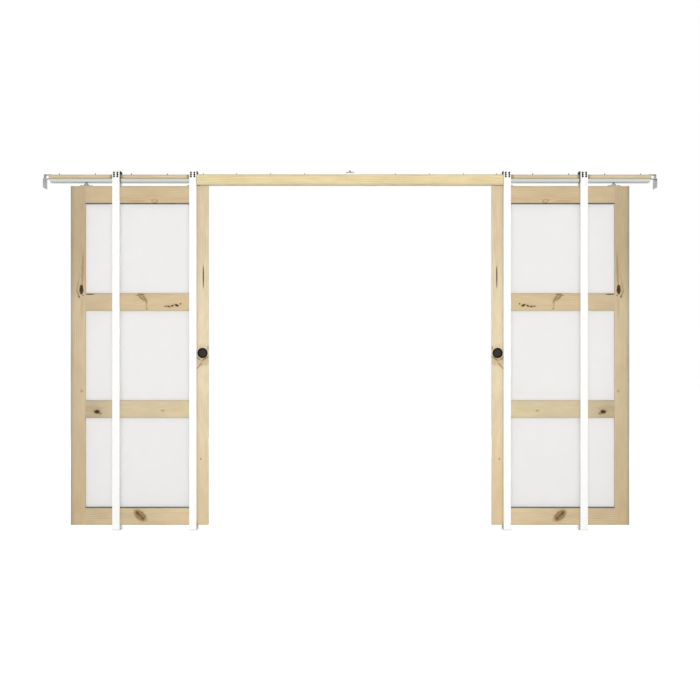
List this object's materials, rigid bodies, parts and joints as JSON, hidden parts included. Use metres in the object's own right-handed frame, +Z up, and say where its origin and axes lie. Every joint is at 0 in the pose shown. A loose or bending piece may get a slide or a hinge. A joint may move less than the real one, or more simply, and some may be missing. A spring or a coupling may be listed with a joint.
{
  "type": "double pocket door frame",
  "caption": "Pocket door frame with a timber header, aluminium track and split steel studs, carrying glazed pine doors that roll on trolleys into pockets at each side.",
  "frame": {"origin": "under the floor plate of the left mouth stud, at the middle of its underside, on the floor", "axes": "+X along the wall towards the right pocket, front towards -Y, +Z up"},
  "size_m": [3.6675, 0.093, 2.157],
  "materials": {
    "knotty_pine": "satin lacquer",
    "header_pine": "planed",
    "white_steel": "white powder coat",
    "dark_steel": "dark coat",
    "foot_steel": "pale zinc",
    "zinc_steel": "zinc plated",
    "aluminium": "satin extrusion",
    "frosted_glass": "frosted",
    "black_pull": "matt black",
    "nylon": "moulded",
    "rubber": "moulded"
  },
  "bodies": {
    "frame": {"back_fascia": "header_pine", "centre_bridge": "foot_steel", "front_fascia": "header_pine", "header_board": "header_pine", "left_end_bracket": "zinc_steel", "left_mouth_back_stud": "white_steel", "left_mouth_floor_plate": "foot_steel", "left_mouth_front_stud": "white_steel", "left_mouth_guide": "zinc_steel", "left_mouth_saddle": "dark_steel", "left_outer_back_stud": "white_steel", "left_outer_floor_plate": "foot_steel", "left_outer_front_stud": "white_steel", "left_outer_saddle": "dark_steel", "right_end_bracket": "zinc_steel", "right_mouth_back_stud": "white_steel", "right_mouth_floor_plate": "foot_steel", "right_mouth_front_stud": "white_steel", "right_mouth_guide": "zinc_steel", "right_mouth_saddle": "dark_steel", "right_outer_back_stud": "white_steel", "right_outer_floor_plate": "foot_steel", "right_outer_front_stud": "white_steel", "right_outer_saddle": "dark_steel", "track": "aluminium", "track_stops": "rubber"},
    "left_door": {"left_door_bottom_rail": "knotty_pine", "left_door_glass": "frosted_glass", "left_door_hangers": "zinc_steel", "left_door_lead_stile": "knotty_pine", "left_door_lower_mid_rail": "knotty_pine", "left_door_pulls": "black_pull", "left_door_rear_stile": "knotty_pine", "left_door_top_rail": "knotty_pine", "left_door_trolleys": "zinc_steel", "left_door_upper_mid_rail": "knotty_pine", "left_door_wheels": "nylon"},
    "right_door": {"right_door_bottom_rail": "knotty_pine", "right_door_glass": "frosted_glass", "right_door_hangers": "zinc_steel", "right_door_lead_stile": "knotty_pine", "right_door_lower_mid_rail": "knotty_pine", "right_door_pulls": "black_pull", "right_door_rear_stile": "knotty_pine", "right_door_top_rail": "knotty_pine", "right_door_trolleys": "zinc_steel", "right_door_upper_mid_rail": "knotty_pine", "right_door_wheels": "nylon"}
  },
  "joints": [
    {"name": "left_door_slide", "type": "slide", "parent": "frame", "child": "left_door", "axis": [1, 0, 0], "range_m": [-0.06775, 0.847]},
    {"name": "right_door_slide", "type": "slide", "parent": "frame", "child": "right_door", "axis": [-1, 0, 0], "range_m": [-0.06775, 0.847]}
  ]
}
